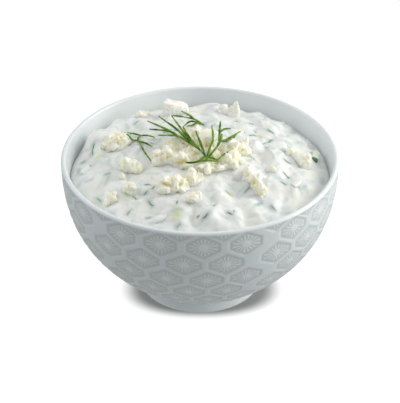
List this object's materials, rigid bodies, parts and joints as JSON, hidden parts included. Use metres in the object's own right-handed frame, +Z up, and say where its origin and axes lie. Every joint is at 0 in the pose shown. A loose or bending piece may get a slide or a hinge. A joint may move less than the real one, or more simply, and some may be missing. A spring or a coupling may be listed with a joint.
{
  "type": "tzatziki dip in bowl",
  "caption": "Tzatziki yoghurt dip heaped in a round footed porcelain bowl, topped with crumbled feta, bits of cucumber and fine dill sprigs.",
  "frame": {"origin": "middle of the foot ring's resting plane, on the bowl's axis", "axes": "+Z up along the bowl's axis, -Y towards the side seen in the picture"},
  "size_m": [0.12, 0.12, 0.0777],
  "materials": {
    "porcelain": "pale blue-grey glaze with a tone-on-tone hexagon flower pattern outside",
    "yoghurt": "thick wet yoghurt, food and not plastic; flecked with chopped dill",
    "feta": "crumbled creamy white cheese, food and not plastic",
    "cucumber": "moist pale green cucumber under a film of yoghurt, food and not plastic",
    "dill": "fresh green dill, food and not plastic"
  },
  "bodies": {
    "root": {"bowl": "porcelain", "cucumber_1": "cucumber", "cucumber_2": "cucumber", "cucumber_3": "cucumber", "cucumber_4": "cucumber", "cucumber_5": "cucumber", "dill_back": "dill", "dill_left": "dill", "dill_sprig": "dill", "dip": "yoghurt", "feta_back_chunk": "feta", "feta_back_left": "feta", "feta_back_shard": "feta", "feta_bead": "feta", "feta_coated_right": "feta", "feta_far_left": "feta", "feta_front": "feta", "feta_heap": "feta", "feta_left": "feta", "feta_low_left": "feta", "feta_right": "feta", "feta_small_left": "feta", "feta_strand": "feta", "feta_under_front": "feta"}
  },
  "joints": []
}
